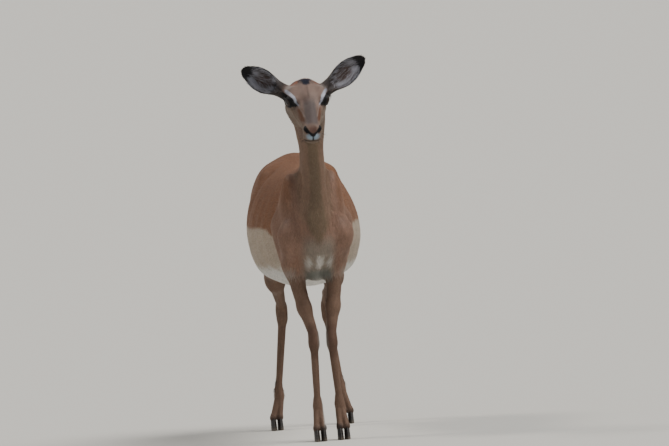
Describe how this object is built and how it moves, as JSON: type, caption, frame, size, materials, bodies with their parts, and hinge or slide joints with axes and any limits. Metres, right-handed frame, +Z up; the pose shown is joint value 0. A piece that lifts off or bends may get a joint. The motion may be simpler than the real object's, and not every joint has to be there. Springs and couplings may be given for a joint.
{
  "type": "impala",
  "caption": "Life-size still model of a female impala standing alert and facing ahead, with wide belly, slim legs, cloven hooves and spread ears.",
  "frame": {"origin": "on the ground under the middle of the bounding box", "axes": "the animal faces -Y, its left side is +X and +Z is up"},
  "size_m": [0.377, 1.1622, 1.189],
  "materials": {
    "body_coat": "short reddish fawn hair that lies flat, paler on the flanks and white on the belly",
    "leg_coat": "very short fawn hair, paler inside the legs, with black tufts above the hind fetlocks",
    "face_coat": "very short fawn hair, with a dark crown, pale brows, lips and chin and a bare dark nose",
    "ear_coat": "short fawn hair behind, long pale hair inside, black tip and rim",
    "tail_coat": "long white hair with a black stripe down the back",
    "eye": "wet and glossy, dark brown",
    "horn": "blackish horn with fine growth rings, satin"
  },
  "bodies": {
    "root": {"head": "face_coat", "neck": "body_coat", "trunk": "body_coat", "tail": "tail_coat", "ear_left": "ear_coat", "ear_right": "ear_coat", "eye_left": "eye", "eye_right": "eye", "foreleg_left": "leg_coat", "hoof_fore_left_inner": "horn", "hoof_fore_left_outer": "horn", "hindleg_left": "leg_coat", "hoof_hind_left_inner": "horn", "hoof_hind_left_outer": "horn", "foreleg_right": "leg_coat", "hoof_fore_right_inner": "horn", "hoof_fore_right_outer": "horn", "hindleg_right": "leg_coat", "hoof_hind_right_inner": "horn", "hoof_hind_right_outer": "horn"}
  },
  "joints": []
}
